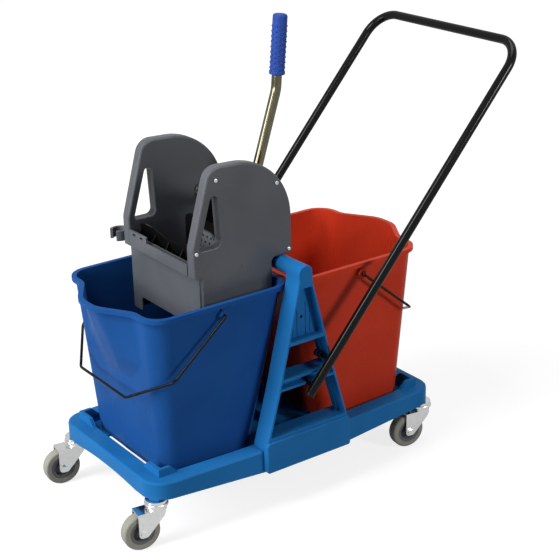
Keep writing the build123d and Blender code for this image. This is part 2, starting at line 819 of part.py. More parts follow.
for y in (-press_half, -press_half + plate_t):
    rounds = plate.edges().filter_by_position(Axis.Y, y - 0.1, y + 0.1)
    rounds = rounds.filter_by(lambda e: e.center().Z > press_step_z + 12)
    plate = fillet(rounds, plate_edge_r)
window = slab_y(window_outline, -press_half - 1, -press_half + plate_t + 1)
plate -= window
for y in (-press_half, -press_half + plate_t):
    broad = plate.faces().filter_by_position(Axis.Y, y - 0.1, y + 0.1).sort_by(SortBy.AREA)[-1]
    plate = fillet(broad.inner_wires()[0].edges(), window_edge_r)
shaft_depth = 12.0
shaft_half = press_half - plate_t + shaft_depth
plate -= rod_y(
    jaw_shaft_d / 2 + seat,
    -jaw_pivot_x,
    jaw_pivot_z,
    -shaft_half - 0.1,
    -press_half + plate_t + 1,
)
screw_places = [
    (chin + 60, press_top_z - 28),
    (-11.5, press_top_z - 63),
    (chin + 8, press_kink_z - 11),
    (press_back_x - 9, bar_top + 11),
]
screw_reach = 10.0
screws = []
for x, z in screw_places:
    plate -= rod_y(press_screw_d / 2 + seat, x, z, -press_half - 1, -press_half + screw_reach + 0.3)
    screw = rod_y(press_screw_d / 2, x, z, -press_half - 1, -press_half + screw_reach)
    pan = rod_y(press_screw_d * 1.1, x, z, -press_half - 2.6, -press_half - seat)
    screw += fillet(pan.edges().filter_by_position(Axis.Y, -press_half - 2.7, -press_half - 2.5), 1.6)
    screws += both_sides(screw)
nodes["press_near_plate"] = plate
nodes["press_far_plate"] = mirror(plate, about=Plane.XZ)
nodes["press_screws"] = group(screws)

# Front panel: a lower board over both plates with two legs, and a proud band between the plates
inside = press_half - plate_t
board_half = press_half - 4
board = outline(
    [
        (-board_half, press_low_z - 3, 4),
        (-board_half + panel_leg_w, press_low_z - 3, 4),
        (-board_half + panel_leg_w, panel_legs_z, 8),
        (board_half - panel_leg_w, panel_legs_z, 8),
        (board_half - panel_leg_w, press_low_z - 3, 4),
        (board_half, press_low_z - 3, 4),
        (board_half, press_step_z - 1, 2),
        (inside - seat, press_step_z - 1, 0),
        (inside - seat, panel_top_z - 4, 3),
        (-inside + seat, panel_top_z - 4, 3),
        (-inside + seat, press_step_z - 1, 0),
        (-board_half, press_step_z - 1, 2),
    ]
)
front_panel = slab_x(board, front - panel_t, front)
tab_y0 = inside * 0.4
band = outline(
    [
        (-inside + seat, press_step_z + 2, 0),
        (inside - seat, press_step_z + 2, 0),
        (inside - seat, panel_raised_z, 3),
        (tab_y0, panel_raised_z, 3),
        (tab_y0 - 2, panel_top_z, 0),
        (-inside + seat, panel_top_z, 0),
    ]
)
front_panel += slab_x(band, chin, chin + panel_t)
front_panel += block(
    chin + panel_t / 2,
    front - panel_t / 2,
    -inside + seat,
    inside - seat,
    press_step_z + 2,
    press_step_z + 6,
)
for y in (inside * 0.56, inside * 0.82):
    front_panel -= block(chin - 1, chin + panel_t + 1, y - 6, y + 6, panel_raised_z - 10, panel_raised_z - 5)
nodes["press_front_panel"] = front_panel

# Rear panel: a flanged board between the plates, just above the crossbar
rear_x = press_back_x - rear_inset
rear_low = bar_top + rear_panel_lift
rear_top = rear_low + rear_panel_h
rear_panel = block(rear_x, rear_x + panel_t, -inside, inside, rear_low, rear_top)
for z in (rear_low, rear_top - panel_t):
    rear_panel += block(rear_x - rear_flange, rear_x + 1, -inside, inside, z, z + panel_t)
nodes["press_rear_panel"] = rear_panel

# Fixed jaw: a wavy-topped ribbed board leaning inward behind the front panel
fixed_top = front + fixed_gap_top
fixed_low = front + fixed_gap_low
fixed_top_z = panel_raised_z + fixed_rise
fixed_crest_z = fixed_top_z + fixed_wave
fixed_low_z = press_low_z + fixed_foot_h
fixed_side = outline(
    [
        (fixed_top, fixed_crest_z, 0),
        (fixed_top + fixed_t, fixed_crest_z, 0),
        (fixed_low + fixed_t, fixed_low_z, 0),
        (fixed_low, fixed_low_z, 0),
    ]
)
wavy_edge = Spline(
    (-inside, fixed_top_z),
    (-fixed_crest_y, fixed_crest_z),
    (0, fixed_top_z - fixed_wave),
    (fixed_crest_y, fixed_crest_z),
    (inside, fixed_top_z),
)
square_edge = Polyline(
    (inside, fixed_top_z),
    (inside, fixed_low_z),
    (-inside, fixed_low_z),
    (-inside, fixed_top_z),
)
wavy_board = slab_x(make_face([wavy_edge, square_edge]), front, fixed_low + fixed_t)
fixed_jaw = slab_y(fixed_side, -inside, inside) & wavy_board
rib = outline(
    [
        (front, panel_top_z - 8, 0),
        (fixed_top + fixed_t / 2, panel_raised_z - 4, 0),
        (fixed_low + fixed_t / 2, fixed_low_z + 1, 0),
        (front, fixed_low_z + 1, 0),
    ]
)
rib_pitch = inside * 0.48
for k in range(5):
    y = (k - 2) * rib_pitch
    fixed_jaw += slab_y(rib, y - 1.5, y + 1.5)
for row in range(4):
    for k in range(4):
        y = (k - 1.5) * rib_pitch
        z = press_low_z + fixed_hole_foot + row * fixed_hole_pitch
        fixed_jaw -= rod_x(fixed_hole_d / 2, y, z, front + 2, fixed_low + fixed_t + 2)
nodes["press_fixed_jaw"] = fixed_jaw

# Hinge shaft of the moving jaw, held in blind bores of the plates
jaw_shaft = rod_y(jaw_shaft_d / 2, -jaw_pivot_x, jaw_pivot_z, -shaft_half, shaft_half)
nodes["jaw_shaft"] = jaw_shaft

# Mop clip: an open ring on an arm from the far plate
clip_r = clip_d / 2
clip = rod_z(clip_r + clip_wall, clip_x, clip_y, clip_z, clip_z + clip_h)
arm_low = clip_z + 3
arm_top = clip_z + clip_h - 3
clip += block(clip_x + 4, clip_x + 16, press_half, clip_y, arm_low, arm_top)
clip += block(clip_x + 7, clip_x + 48, press_half, press_half + 5, arm_low, arm_top)
clip -= rod_z(clip_r, clip_x, clip_y, clip_z - 1, clip_z + clip_h + 1)
gap_face = outline([(clip_x - 2, clip_y, 0), (clip_x - 40, clip_y - 36, 0), (clip_x - 40, clip_y + 30, 0)])
clip -= slab_z(gap_face, clip_z - 1, clip_z + clip_h + 1)
nodes["mop_clip"] = clip

# Moving jaw: a rounded board on hinge barrels, with a rear rib that carries the lever
jaw_low_z = jaw_pivot_z + 8
jaw_board = outline(
    [
        (-jaw_half, jaw_low_z, 4),
        (jaw_half, jaw_low_z, 4),
        (jaw_half, jaw_top_z, jaw_corner_r),
        (-jaw_half, jaw_top_z, jaw_corner_r),
    ]
)
jaw = slab_x(jaw_board, -jaw_x - jaw_t / 2, -jaw_x + jaw_t / 2)
barrel_r = jaw_shaft_d / 2 + 5
barrel_web = outline(
    [
        (-jaw_x - jaw_t / 2, jaw_low_z + 22, 0),
        (-jaw_x - jaw_t / 2, jaw_pivot_z - 4, 3),
        (-jaw_pivot_x, jaw_pivot_z - 4, 0),
        (-jaw_pivot_x + barrel_r - 1, jaw_pivot_z, 0),
    ]
)
for y0, y1 in ((-jaw_half, -jaw_half + 40), (jaw_half - 40, jaw_half)):
    jaw += rod_y(barrel_r, -jaw_pivot_x, jaw_pivot_z, y0, y1) + slab_y(barrel_web, y0, y1)
eye_back = hypot(lever_corner_x - lever_eye_x, lever_corner_z - lever_eye_z)
arm_dx = (lever_corner_x - lever_eye_x) / eye_back
arm_dz = (lever_corner_z - lever_eye_z) / eye_back
second_x = lever_eye_x + arm_dx * lever_bolt_pitch
second_z = lever_eye_z + arm_dz * lever_bolt_pitch
rib_y0 = blade_t / 2 + seat
rib_y1 = rib_y0 + 8.0
rib_outline = outline(
    [
        (-jaw_x - jaw_t / 2, jaw_low_z + 30, 0),
        (-jaw_x + 20, jaw_low_z + 30, 12),
        (second_x + 14, second_z - 12, 14),
        (second_x + 14, second_z + 14, 12),
        (lever_eye_x - 15, lever_eye_z + 16, 14),
        (lever_eye_x - 15, lever_eye_z - 20, 8),
        (-jaw_x - jaw_t / 2, jaw_top_z - 8, 0),
    ]
)
rib = slab_y(rib_outline, rib_y0, rib_y1)
for x, z in ((lever_eye_x, lever_eye_z), (second_x, second_z)):
    rib -= rod_y(lever_bolt_d / 2 + seat, x, z, rib_y0 - 1, rib_y1 + 1)
jaw += rib
for y in (-jaw_half + 18, jaw_half - 22):
    stiff = outline(
        [
            (-jaw_x, jaw_low_z + 4, 0),
            (-jaw_x + 15, jaw_low_z + 30, 8),
            (-jaw_x + 15, jaw_top_z - 90, 8),
            (-jaw_x, jaw_top_z - 55, 0),
        ]
    )
    jaw += slab_y(stiff, y, y + 4)
jaw -= rod_y(jaw_shaft_d / 2 + running, -jaw_pivot_x, jaw_pivot_z, -jaw_half - 1, jaw_half + 1)
nodes["press_jaw"] = jaw

# Perforated presser face on the front of the jaw
face_back = -jaw_x - jaw_t / 2
face_low_z = jaw_low_z + 14
face_board = outline(
    [
        (-face_half, face_low_z, 8),
        (face_half, face_low_z, 8),
        (face_half, face_top_z, 22),
        (-face_half, face_top_z, 22),
    ]
)
jaw_face = slab_x(face_board, face_back - face_t, face_back)
face_rows = int((face_top_z - face_low_z - 2 * face_hole_edge) / face_row_pitch) + 1
face_columns = int((face_half * 2 - 2 * face_hole_edge) / face_hole_pitch) + 1
for row in range(face_rows):
    count = face_columns - row % 2
    z = face_top_z - face_hole_edge - row * face_row_pitch
    for k in range(count):
        y = (k - (count - 1) / 2) * face_hole_pitch
        jaw_face -= rod_x(face_hole_d / 2, y, z, face_back - face_t - 1, face_back + 1)
nodes["jaw_face"] = jaw_face

# Lever: a bent tube with its end pressed flat into a bolted blade
blade_end_x = lever_eye_x + arm_dx * blade_length
blade_end_z = lever_eye_z + arm_dz * blade_length
neck_length = 26.0
neck_x = lever_eye_x + arm_dx * (blade_length + neck_length)
neck_z = lever_eye_z + arm_dz * (blade_length + neck_length)
blade_plane = Plane(origin=(lever_eye_x, 0, lever_eye_z), x_dir=(arm_dx, 0, arm_dz), z_dir=(0, -1, 0))
blade_face = Pos(blade_length / 2, 0) * Rectangle(blade_length, blade_w) + Circle(blade_w / 2)
blade = blade_plane * Pos(0, 0, -blade_t / 2) * extrude(blade_face, blade_t, dir=(0, 0, 1))
across = Plane(origin=(blade_end_x, 0, blade_end_z), x_dir=(0, 1, 0), z_dir=(arm_dx, 0, arm_dz))
neck_plane = Plane(origin=(neck_x, 0, neck_z), x_dir=(0, 1, 0), z_dir=(arm_dx, 0, arm_dz))
neck = loft(
    [
        across * RectangleRounded(blade_t, blade_w, blade_t * 0.45),
        neck_plane * Circle(lever_d / 2),
    ]
)
tube_path = FilletPolyline(
    (neck_x, 0, neck_z),
    (lever_corner_x, 0, lever_corner_z),
    (lever_bend_x, 0, lever_bend_z),
    (lever_top_x, 0, lever_top_z),
    radius=[lever_bend_low_r, lever_bend_high_r],
)
tube = sweep(neck_plane * Circle(lever_d / 2), path=tube_path)
tube -= sweep(neck_plane * Circle(lever_d / 2 - lever_wall), path=tube_path)
lever = blade + neck + tube
for x, z in ((lever_eye_x, lever_eye_z), (second_x, second_z)):
    lever -= rod_y(lever_bolt_d / 2 + seat, x, z, -lever_d, lever_d)
nodes["lever_tube"] = lever

# Grip sleeve over the top of the lever, closed at its end
grip_run = hypot(lever_top_x - lever_bend_x, lever_top_z - lever_bend_z)
grip_dir = ((lever_top_x - lever_bend_x) / grip_run, 0, (lever_top_z - lever_bend_z) / grip_run)
grip_plane = Plane(origin=(lever_top_x, 0, lever_top_z), x_dir=(0, 1, 0), z_dir=grip_dir)
grip_cap = 4.0
grip = Pos(0, 0, grip_cap - grip_length / 2) * Cylinder(grip_d / 2, grip_length)
grip = fillet(grip.edges().filter_by_position(Axis.Z, grip_cap - 0.1, grip_cap + 0.1), 6)
collar = Pos(0, 0, grip_cap - grip_length + 4) * Cylinder(grip_d / 2 + 1.5, 8)
grip += fillet(collar.edges().filter_by(GeomType.CIRCLE), 2)
grip -= Pos(0, 0, -grip_length / 2) * Cylinder(lever_d / 2 + seat, grip_length)
nodes["lever_grip"] = grip_plane * grip

# Lever bolts with domed heads on the near side and nuts behind the rib
lever_bolts = []
for x, z in ((lever_eye_x, lever_eye_z), (second_x, second_z)):
    crown_y = -blade_t / 2 - lever_head_h
    head = rod_y(lever_head_d / 2, x, z, crown_y, -blade_t / 2 - seat)
    head = fillet(head.edges().filter_by_position(Axis.Y, crown_y - 0.1, crown_y + 0.1), lever_head_h * 0.9)
    bolt = head + rod_y(lever_bolt_d / 2, x, z, -blade_t / 2 - 1, rib_y1 + 9)
    bolt += hex_y(13, x, z, rib_y1 + seat, rib_y1 + 6.5)
    lever_bolts.append(bolt)
nodes["lever_bolts"] = group(lever_bolts)

# Shift everything so that the middle of the overall box stands on the origin
boxes = [shape.bounding_box() for shape in nodes.values()]
shift_x = -(min(b.min.X for b in boxes) + max(b.max.X for b in boxes)) / 2
shift_y = -(min(b.min.Y for b in boxes) + max(b.max.Y for b in boxes)) / 2
shift_z = -min(b.min.Z for b in boxes)
os.makedirs("parts", exist_ok=True)
for name, shape in nodes.items():
    export_step(Pos(shift_x, shift_y, shift_z) * shape, "parts/" + name + ".step")
print(len(nodes), "nodes, shift", round(shift_x, 4), round(shift_y, 4), round(shift_z, 4))
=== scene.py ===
import json
import math

import bmesh
import bpy
from mathutils import Matrix, Vector

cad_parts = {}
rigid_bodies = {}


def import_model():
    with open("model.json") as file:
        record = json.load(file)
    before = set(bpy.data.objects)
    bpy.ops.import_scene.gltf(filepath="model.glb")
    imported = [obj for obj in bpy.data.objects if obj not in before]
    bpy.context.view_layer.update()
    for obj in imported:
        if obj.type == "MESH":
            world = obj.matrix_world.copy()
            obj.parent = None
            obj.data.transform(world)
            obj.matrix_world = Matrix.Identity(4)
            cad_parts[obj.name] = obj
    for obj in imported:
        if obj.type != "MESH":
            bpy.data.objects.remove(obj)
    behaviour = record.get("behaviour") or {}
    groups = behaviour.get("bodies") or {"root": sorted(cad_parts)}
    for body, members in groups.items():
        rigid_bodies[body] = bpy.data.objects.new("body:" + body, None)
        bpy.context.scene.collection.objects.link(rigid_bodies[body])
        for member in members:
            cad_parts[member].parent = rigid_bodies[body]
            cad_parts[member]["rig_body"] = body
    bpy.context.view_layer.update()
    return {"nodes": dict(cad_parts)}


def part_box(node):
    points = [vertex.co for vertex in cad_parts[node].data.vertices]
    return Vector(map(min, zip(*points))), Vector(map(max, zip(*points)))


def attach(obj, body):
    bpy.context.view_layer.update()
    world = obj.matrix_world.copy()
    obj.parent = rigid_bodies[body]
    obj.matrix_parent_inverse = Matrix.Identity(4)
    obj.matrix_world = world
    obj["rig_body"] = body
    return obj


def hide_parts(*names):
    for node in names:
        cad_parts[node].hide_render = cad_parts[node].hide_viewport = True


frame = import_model()

# Base trays: two mirror-image mouldings that meet under the side frames.
# Injection moulded polypropylene in azure blue, with a rounded deck edge,
# a sunk well for each bucket and L-shaped stops at the outer corners.


def linear(hex_code):
    # sRGB hex to the linear colour that the shader takes
    parts = [int(hex_code[i : i + 2], 16) / 255 for i in (1, 3, 5)]
    return tuple(c / 12.92 if c <= 0.04045 else ((c + 0.055) / 1.055) ** 2.4 for c in parts) + (1.0,)


def add(tree, kind, settings=None, links=None):
    # One node with its settings and what feeds it
    node = tree.nodes.new(kind)
    for key, value in (settings or {}).items():
        if isinstance(key, str) and hasattr(node, key):
            setattr(node, key, value)
        else:
            node.inputs[key].default_value = value
    for key, source in (links or {}).items():
        tree.links.new(source, node.inputs[key])
    return node


def moulded_plastic(name, colour, shade, rough, grain_mm, grain_depth_mm, ior, shine=0.22):
    # Moulded plastic: a fine tool grain that softens the gloss, broad clouds of
    # shade from the melt's flow, and faint rub marks that break up the highlight.
    # A real tool grain is finer than grain_mm, and is drawn this coarse to show.
    flow_mm = 140
    rub_mm = 45
    material = bpy.data.materials.new(name)
    material.use_nodes = True
    tree = material.node_tree
    shader = tree.nodes["Principled BSDF"]
    shader.inputs["IOR"].default_value = ior
    shader.inputs["Specular IOR Level"].default_value = shine
    place = add(tree, "ShaderNodeTexCoord")
    flow = add(
        tree, "ShaderNodeTexNoise",
        {"Scale": 1000 / flow_mm, "Detail": 3.0, "Distortion": 0.6},
        {"Vector": place.outputs["Object"]},
    )
    grain = add(
        tree, "ShaderNodeTexNoise",
        {"Scale": 1000 / grain_mm, "Detail": 2.0},
        {"Vector": place.outputs["Object"]},
    )
    stretch = add(
        tree, "ShaderNodeMapping",
        {"Rotation": (0.5, 0.3, 0.8), "Scale": (1.0, 7.0, 1.0)},
        {"Vector": place.outputs["Object"]},
    )
    rub = add(
        tree, "ShaderNodeTexNoise",
        {"Scale": 1000 / rub_mm, "Detail": 5.0, "Roughness": 0.65},
        {"Vector": stretch.outputs["Vector"]},
    )
    tone = add(tree, "ShaderNodeValToRGB", None, {"Fac": flow.outputs["Fac"]})
    tone.color_ramp.elements[0].position = 0.32
    tone.color_ramp.elements[0].color = linear(shade)
    tone.color_ramp.elements[1].position = 0.68
    tone.color_ramp.elements[1].color = linear(colour)
    tree.links.new(tone.outputs["Color"], shader.inputs["Base Color"])
    gloss = add(
        tree, "ShaderNodeMapRange",
        {"From Min": 0.3, "From Max": 0.75, "To Min": rough - 0.05, "To Max": rough + 0.09},
        {"Value": rub.outputs["Fac"]},
    )
    tree.links.new(gloss.outputs["Result"], shader.inputs["Roughness"])
    skin_bump = add(
        tree, "ShaderNodeBump",
        {"Strength": 0.35, "Distance": grain_depth_mm / 1000},
        {"Height": grain.outputs["Fac"]},
    )
    tree.links.new(skin_bump.outputs["Normal"], shader.inputs["Normal"])
    return material


def dress(node, material, crease=32):
    # A merged, smooth-shaded copy of a node's mesh takes its place. Edges past the crease
    # angle stay sharp, and the normals stored for the loose triangles are dropped.
    merge_reach = 3e-6
    source = frame["nodes"][node]
    form = bmesh.new()
    form.from_mesh(source.data)
    bmesh.ops.remove_doubles(form, verts=form.verts, dist=merge_reach)
    for face in form.faces:
        face.smooth = True
    for edge in form.edges:
        edge.smooth = edge.calc_face_angle(0) < math.radians(crease)
    mesh = bpy.data.meshes.new(node + "_form")
    form.to_mesh(mesh)
    form.free()
    if "custom_normal" in mesh.attributes:
        mesh.attributes.remove(mesh.attributes["custom_normal"])
    mesh.materials.clear()
    mesh.materials.append(material)
    piece = bpy.data.objects.new(node + "_form", mesh)
    bpy.context.scene.collection.objects.link(piece)
    even = piece.modifiers.new("even_normals", "WEIGHTED_NORMAL")
    even.keep_sharp = True
    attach(piece, source["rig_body"])
    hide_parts(node)
    return piece


# Polypropylene gives an even, waxy blue with a soft sheen and hardly any mirror gloss
azure_polypropylene = moulded_plastic(
    "azure_polypropylene", "#236FAE", "#1E67A4",
    rough=0.34, grain_mm=1.6, grain_depth_mm=0.05, ior=1.49, shine=0.05,
)
dress("front_tray", azure_polypropylene)
dress("rear_tray", azure_polypropylene)

# Castors: pressed steel swivel forks on a ball race, bolted up through the tray.
# The steel is zinc plated; wheels are grey thermoplastic rubber on a nylon centre.


def plated_steel(name, colour, shade, rough, spangle_mm):
    # Plated steel: a bright metal with small cloudy crystals, and a haze that varies its gloss
    haze_mm = 9
    material = bpy.data.materials.new(name)
    material.use_nodes = True
    tree = material.node_tree
    shader = tree.nodes["Principled BSDF"]
    shader.inputs["Metallic"].default_value = 1.0
    place = add(tree, "ShaderNodeTexCoord")
    crystal = add(
        tree, "ShaderNodeTexVoronoi",
        {"Scale": 1000 / spangle_mm},
        {"Vector": place.outputs["Object"]},
    )
    haze = add(
        tree, "ShaderNodeTexNoise",
        {"Scale": 1000 / haze_mm, "Detail": 4.0},
        {"Vector": place.outputs["Object"]},
    )
    tone = add(tree, "ShaderNodeValToRGB", None, {"Fac": crystal.outputs["Color"]})
    tone.color_ramp.elements[0].color = linear(shade)
    tone.color_ramp.elements[1].color = linear(colour)
    tree.links.new(tone.outputs["Color"], shader.inputs["Base Color"])
    gloss = add(
        tree, "ShaderNodeMapRange",
        {"To Min": rough - 0.06, "To Max": rough + 0.1},
        {"Value": haze.outputs["Fac"]},
    )
    tree.links.new(gloss.outputs["Result"], shader.inputs["Roughness"])
    ripple = add(
        tree, "ShaderNodeBump",
        {"Strength": 0.03, "Distance": 0.00008},
        {"Height": haze.outputs["Fac"]},
    )
    tree.links.new(ripple.outputs["Normal"], shader.inputs["Normal"])
    return material


# Zinc gives a pale grey mirror with small glints, rubber a dull warm grey, nylon a darker satin
zinc_plate = plated_steel("zinc_plated_steel", "#F2F3F2", "#E6E7E6", rough=0.16, spangle_mm=3.0)
grey_rubber = moulded_plastic(
    "grey_thermoplastic_rubber", "#9C9A91", "#919086",
    rough=0.62, grain_mm=1.2, grain_depth_mm=0.08, ior=1.5,
)
nylon_centre = moulded_plastic(
    "grey_nylon", "#6C6C70", "#626266",
    rough=0.45, grain_mm=1.4, grain_depth_mm=0.05, ior=1.53,
)
for place in ("front_near", "front_far", "rear_near", "rear_far"):
    dress(place + "_castor_mount", zinc_plate)
    dress(place + "_castor_fork", zinc_plate)
    dress(place + "_castor_axle", zinc_plate)
    dress(place + "_castor_tyre", grey_rubber)
    dress(place + "_castor_hub", nylon_centre)

# Side frames and crossbar: two A-shaped mouldings screwed to the trays' skirts,
# tied at the top by a tube that is pushed over a spigot in each head.
dress("near_side_frame", azure_polypropylene)
dress("far_side_frame", azure_polypropylene)
dress("crossbar", azure_polypropylene)
# Bright steel gives each small head a clean glint with a darker rim
steel_bright = plated_steel("bright_steel", "#D2D4D6", "#C2C4C7", rough=0.26, spangle_mm=2.0)
dress("foot_screws", steel_bright)

# Push handle: one steel tube bent to a U and powder coated black.
# Two bolts hold each foot to its frame through black spacers, with knobs inside.
cross_low, cross_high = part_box("crossbar")
middle_x = (cross_low.x + cross_high.x) / 2


def at(x_mm, y_mm, z_mm):
    # A point given in millimetres from the middle of the base on the floor
    return Vector((middle_x + x_mm / 1000, y_mm / 1000, z_mm / 1000))


def bent_tube_tree():
    # A path of straight runs gets rounded corners and a round tube wall
    steps_in_bend = 20
    steps_around = 40
    tree = bpy.data.node_groups.new("bent_tube", "GeometryNodeTree")
    ports = tree.interface
    ports.new_socket("Geometry", in_out="INPUT", socket_type="NodeSocketGeometry")
    ports.new_socket("Bend radius", in_out="INPUT", socket_type="NodeSocketFloat")
    ports.new_socket("Tube radius", in_out="INPUT", socket_type="NodeSocketFloat")
    ports.new_socket("Finish", in_out="INPUT", socket_type="NodeSocketMaterial")
    ports.new_socket("Geometry", in_out="OUTPUT", socket_type="NodeSocketGeometry")
    given = add(tree, "NodeGroupInput")
    bend = add(
        tree, "GeometryNodeFilletCurve",
        {"mode": "POLY", "Count": steps_in_bend},
        {"Curve": given.outputs["Geometry"], "Radius": given.outputs["Bend radius"]},
    )
    ring = add(
        tree, "GeometryNodeCurvePrimitiveCircle",
        {"Resolution": steps_around},
        {"Radius": given.outputs["Tube radius"]},
    )
    wall = add(
        tree, "GeometryNodeCurveToMesh",
        {"Fill Caps": True},
        {"Curve": bend.outputs["Curve"], "Profile Curve": ring.outputs["Curve"]},
    )
    real = add(tree, "GeometryNodeRealizeInstances", None, {"Geometry": wall.outputs["Mesh"]})
    paint = add(
        tree, "GeometryNodeSetMaterial",
        None,
        {"Geometry": real.outputs["Geometry"], "Material": given.outputs["Finish"]},
    )
    add(tree, "NodeGroupOutput", None, {"Geometry": paint.outputs["Geometry"]})
    return tree


def grow(carrier, tree, name, sizes, crease=32):
    # Runs a node tree on a carrier object and keeps the result as a plain mesh
    bpy.context.scene.collection.objects.link(carrier)
    growth = carrier.modifiers.new(tree.name, "NODES")
    growth.node_group = tree
    for port in tree.interface.items_tree:
        if port.in_out == "INPUT" and port.name in sizes:
            growth[port.identifier] = sizes[port.name]
    ready = carrier.evaluated_get(bpy.context.evaluated_depsgraph_get())
    mesh = bpy.data.meshes.new_from_object(ready)
    mesh.name = name
    carrier.modifiers.remove(growth)
    bpy.data.objects.remove(carrier)
    mesh.polygons.foreach_set("use_smooth", [True] * len(mesh.polygons))
    mesh.set_sharp_from_angle(angle=math.radians(crease))
    piece = bpy.data.objects.new(name, mesh)
    bpy.context.scene.collection.objects.link(piece)
    return piece


def path_carrier(name, points):
    # Straight runs through the points, for a tree that follows a path
    runs = bpy.data.curves.new(name, "CURVE")
    runs.dimensions = "3D"
    spline = runs.splines.new("POLY")
    spline.points.add(len(points) - 1)
    for spot, point in zip(spline.points, points):
        spot.co = (*point, 1.0)
    return bpy.data.objects.new(name, runs)


def powder_coat(name, colour, rough, peel_mm):
    # Black powder coat on steel: a hard gloss whose slight orange peel bends the highlight,
    # with patches a shade greyer where dust has settled
    dust_mm = 60
    dust_grey = "#0D0D0E"
    material = bpy.data.materials.new(name)
    material.use_nodes = True
    tree = material.node_tree
    shader = tree.nodes["Principled BSDF"]
    shader.inputs["IOR"].default_value = 1.5
    shader.inputs["Specular IOR Level"].default_value = 0.18
    place = add(tree, "ShaderNodeTexCoord")
    peel = add(
        tree, "ShaderNodeTexNoise",
        {"Scale": 1000 / peel_mm, "Detail": 1.5},
        {"Vector": place.outputs["Object"]},
    )
    dust = add(
        tree, "ShaderNodeTexNoise",
        {"Scale": 1000 / dust_mm, "Detail": 6.0},
        {"Vector": place.outputs["Object"]},
    )
    tone = add(
        tree, "ShaderNodeMix",
        {"data_type": "RGBA"},
        {"Factor": dust.outputs["Fac"]},
    )
    for port in tone.inputs:
        if port.type == "RGBA":
            port.default_value = linear(colour) if port.name == "A" else linear(dust_grey)
    shade = [port for port in tone.outputs if port.type == "RGBA"][0]
    tree.links.new(shade, shader.inputs["Base Color"])
    gloss = add(
        tree, "ShaderNodeMapRange",
        {"To Min": rough - 0.03, "To Max": rough + 0.05},
        {"Value": dust.outputs["Fac"]},
    )
    tree.links.new(gloss.outputs["Result"], shader.inputs["Roughness"])
    skin_bump = add(
        tree, "ShaderNodeBump",
        {"Strength": 0.01, "Distance": 0.00005},
        {"Height": peel.outputs["Fac"]},
    )
    tree.links.new(skin_bump.outputs["Normal"], shader.inputs["Normal"])
    return material


black_powder_coat = powder_coat("black_powder_coat", "#050506", rough=0.14, peel_mm=2.5)
# Polyamide gives a deep black with a faint satin sheen on its edges
black_plastic = moulded_plastic(
    "black_polyamide", "#0B0B0C", "#070708",
    rough=0.36, grain_mm=1.5, grain_depth_mm=0.05, ior=1.53, shine=0.16,
)
handle_half_width = 237
handle_foot_x, handle_foot_z = -9.3, 258
handle_top_x, handle_top_z = 569, 910
handle_path = [
    at(handle_foot_x, -handle_half_width, handle_foot_z),
    at(handle_top_x, -handle_half_width, handle_top_z),
    at(handle_top_x, handle_half_width, handle_top_z),
    at(handle_foot_x, handle_half_width, handle_foot_z),
]
# The radius is a hair under the real 10 mm, so that the tube stays in the CAD box
handle = grow(
    path_carrier("push_handle_path", handle_path),
    bent_tube_tree(),
    "push_handle_tube",
    {"Bend radius": 0.062, "Tube radius": 0.00998, "Finish": black_powder_coat},
)
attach(handle, "chassis")
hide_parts("push_handle")
dress("handle_bolts", steel_bright)
dress("handle_spacers", black_plastic)
dress("handle_knobs", black_plastic)
dress("handle_end_plugs", black_plastic)

# Buckets: deep tapered shells with a rolled rim and a bowed pouring end.
# Moulded polypropylene, royal blue for the mop water and red for the rinse.
# It gives a deep even colour with a soft sheen, a little glossier on the red one.
royal_polypropylene = moulded_plastic(
    "royal_blue_polypropylene", "#1F5090", "#1B4A88",
    rough=0.3, grain_mm=1.6, grain_depth_mm=0.05, ior=1.49, shine=0.02,
)
red_polypropylene = moulded_plastic(
    "signal_red_polypropylene", "#CA3C25", "#C1361E",
    rough=0.28, grain_mm=1.6, grain_depth_mm=0.05, ior=1.49, shine=0.08,
)
dress("blue_bucket", royal_polypropylene, crease=24)
dress("red_bucket", red_polypropylene, crease=24)

# Bails: round steel wire bent to a flat-bottomed loop, coated black.
# The bent-in ends turn in holes in the buckets' ears.
dress("blue_bail", black_powder_coat, crease=50)
dress("red_bail", black_powder_coat, crease=50)

# Press body: two thick side plates with hand holes, tied by a front panel with
# two legs and a rear panel. Slate grey moulded plastic, fixed by small screws.
# ABS gives a cool mid grey whose satin gloss lightens the rounded edges.
slate_plastic = moulded_plastic(
    "slate_grey_abs", "#595C61", "#515459",
    rough=0.32, grain_mm=1.3, grain_depth_mm=0.05, ior=1.53, shine=0.24,
)
for node in ("press_near_plate", "press_far_plate", "press_front_panel", "press_rear_panel", "mop_clip"):
    dress(node, slate_plastic)
dress("press_screws", steel_bright)

# Jaws: two black moulded boards that squeeze the mop between them. The front one is wavy and
# fixed; the rear one turns on a steel shaft and carries a grey perforated face.
dress("press_fixed_jaw", black_plastic)
dress("press_jaw", black_plastic)
dress("jaw_face", slate_plastic)
dress("jaw_shaft", steel_bright)

# Lever: a bent steel tube, flattened and bolted to the jaw at its lower end.
# It is chromium plated; the top carries a blue vinyl sleeve with rows of studs.
# Chrome gives a warm dark mirror with one bright line, vinyl a dense matt blue.
chrome = plated_steel("chromium_plate", "#7E7A68", "#706C5A", rough=0.14, spangle_mm=14.0)
dress("lever_tube", chrome, crease=40)
dress("lever_bolts", steel_bright)
grip_vinyl = moulded_plastic(
    "blue_grip_vinyl", "#2A4A9C", "#25428E",
    rough=0.5, grain_mm=1.2, grain_depth_mm=0.06, ior=1.5,
)
dress("lever_grip", grip_vinyl)


